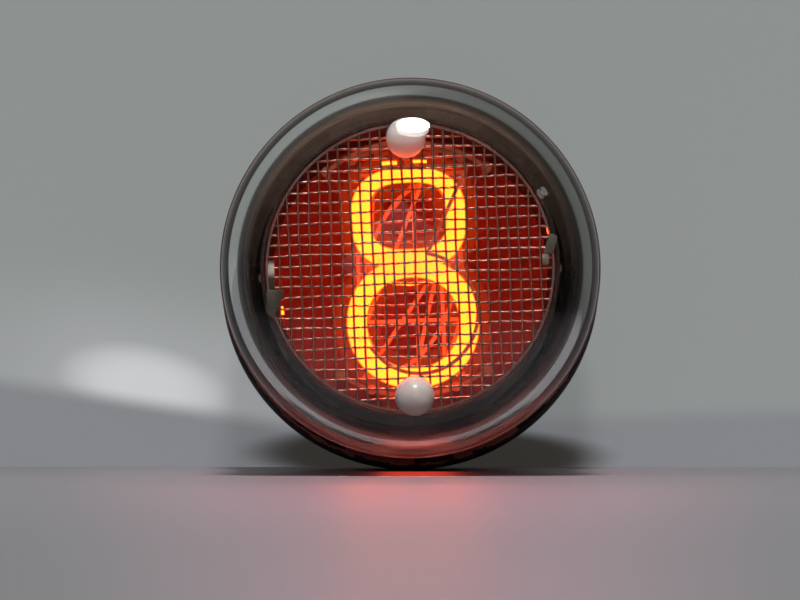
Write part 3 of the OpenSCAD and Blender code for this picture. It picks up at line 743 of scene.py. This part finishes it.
def sheetTabs(t):
    for side in ("left", "right"):
        made = []
        for outline, height, (tip, lean) in t[side]:
            piece = plate("tab", outline, height, height + t["thickness"])
            apply(piece, "BEVEL", width=t["edge"] * mm, segments=2)
            pick(piece)
            bpy.ops.object.mode_set(mode="EDIT")
            bpy.ops.mesh.select_all(action="SELECT")
            middle = Vector((sum(x for x, _ in outline), sum(y for _, y in outline), height * len(outline)))
            middle = middle / len(outline)
            bpy.ops.transform.rotate(value=math.radians(tip), orient_axis="X", center_override=middle * mm)
            bpy.ops.transform.rotate(value=math.radians(lean), orient_axis="Y", center_override=middle * mm)
            bpy.ops.object.mode_set(mode="OBJECT")
            made.append(piece)
        clearSelection()
        for piece in made:
            piece.select_set(True)
        bpy.context.view_layer.objects.active = made[0]
        bpy.ops.object.join()
        piece = named("tab" + side.title())
        smooth(piece, 30)
        place(piece, "bright_sheet", "tabSheet", "strap_" + side)


glow = {
    "z": 53.8, "thickness": 0.15, "width": 1.74, "depth": 0.9, "numeral": (9.1, 16.7), "drop": 0.3,
    "rings": [((0, 0.53), 0.83, 0.40, 2.8), ((0.02, -0.475), 0.98, 0.525, 2.1)],
    "bar": 0.76,                         # width at the top, as a share
    # where it begins to narrow and over what length, as shares of half the height
    "barFrom": 0.6, "barOver": 0.25,
    "haze": (3.9, 2.2),                  # width and depth of the faint light round it
    # thin bright lines: ends and middle in mm, radius
    "sparks": [
        ([(-2.1, 8.42), (-1.4, 8.47), (-0.76, 8.45)], 0.19), ([(0.42, 8.5), (1.0, 8.52), (1.6, 8.47)], 0.15),
        ([(-1.5, -1.1), (-0.1, -1.25), (1.35, -1.1)], 0.11),
    ],
    # painted reflection: short glowing strands at the tabs, for the numeral's light that shows on them past
    # the mesh's rim
    "tabGlints": [[(-10.16, -2.67, 56.25), (-10.1, -3.31, 56.25)], [(10.87, 2.8, 56.7), (10.94, 2.32, 56.7)]],
    "tabGlintR": 0.14,
}


def oval(centre, rx, ry, square, steps=72):
    # a higher square makes the corners fuller
    points = []
    for i in range(steps):
        a = 2 * math.pi * i / steps
        c, s = math.cos(a), math.sin(a)
        points.append((centre[0] + rx * math.copysign(abs(c) ** (2 / square), c),
                       centre[1] + ry * math.copysign(abs(s) ** (2 / square), s)))
    return points


def flatten(piece, share, z):
    # the share of its depth that is left, about this height in mm
    pick(piece)
    bpy.ops.object.mode_set(mode="EDIT")
    bpy.ops.mesh.select_all(action="SELECT")
    bpy.ops.transform.resize(value=(1, 1, share), center_override=(0, 0, z * mm))
    bpy.ops.object.mode_set(mode="OBJECT")


def neonSheath(g):
    z = g["z"] + g["thickness"] / 2
    paths = [[(x * g["numeral"][0] / 2, y * g["numeral"][1] / 2 - g["drop"], z) for x, y in oval(*ring)]
             for ring in g["rings"]]
    top = g["barFrom"] * g["numeral"][1] / 2

    def width(spot):
        rise = min(1, max(0, (spot[1] - top) / (g["barOver"] * g["numeral"][1] / 2)))
        return 1 - (1 - g["bar"]) * rise

    piece = strands("neonGlow", paths, g["width"] / 2, 4, True, width)
    flatten(piece, g["depth"] / g["width"], z)
    place(piece, "glowing_numeral", "neonGlow")
    haze = strands("neonHaze", paths, g["haze"][0] / 2, 4, True)
    flatten(haze, g["haze"][1] / g["haze"][0], z)
    place(haze, "glowing_numeral", "neonHaze")
    for i, (points, radius) in enumerate(g["sparks"]):
        spark = strands("neonSpark" + str(i + 1), [[(x, y, z) for x, y in points]], radius, 3)
        place(spark, "glowing_numeral", "neonGlow")
    # the tabs' painted reflection of the numeral's glow, as glowing strands
    tabGlint = strands("neonTabGlints", g["tabGlints"], g["tabGlintR"], 3)
    place(tabGlint, "glowing_numeral", "neonGlow")


table = {"y": -16.56, "width": 170.0, "depth": 290.0}


def addStage(t):
    clearSelection()
    bpy.ops.mesh.primitive_plane_add(size=4)
    floor = named("floor")
    paint(floor, "floorPaint")
    # the board is turned with the camera, and its face is next to the tube
    lean = math.radians(camera["roll"])
    spot = Vector((t["y"] * math.sin(lean), t["y"] * math.cos(lean), t["depth"] / 2)) * mm
    bpy.ops.mesh.primitive_plane_add(size=mm, rotation=(-math.pi / 2, 0, -lean), location=spot)
    top = named("table")
    top.scale = (t["width"], t["depth"], 1)
    bpy.ops.object.transform_apply(location=True, rotation=True, scale=True)
    paint(top, "tablePaint")


addCamera(camera)
addLamps()
addStage(table)
print("camera, lamps and stage set")

slots = {s["node"]: s["material_slot"] for s in frame["record"]["subparts"]}
for nodeName, node in nodes.items():
    paint(node, slotFinish[slots[nodeName]])
for nodeName in ("mesh_rim", "support_left", "support_right"):
    paint(nodes[nodeName], "rimSheet")
print("nodes painted")

bulbGlass(bulb)
lacquerFilm(lacquer)
wireMesh(weave)
sheetTabs(tabs)
neonSheath(glow)
print("glass, lacquer, mesh, tabs and glow made")

view = bpy.context.scene.view_settings
view.view_transform = "Standard"
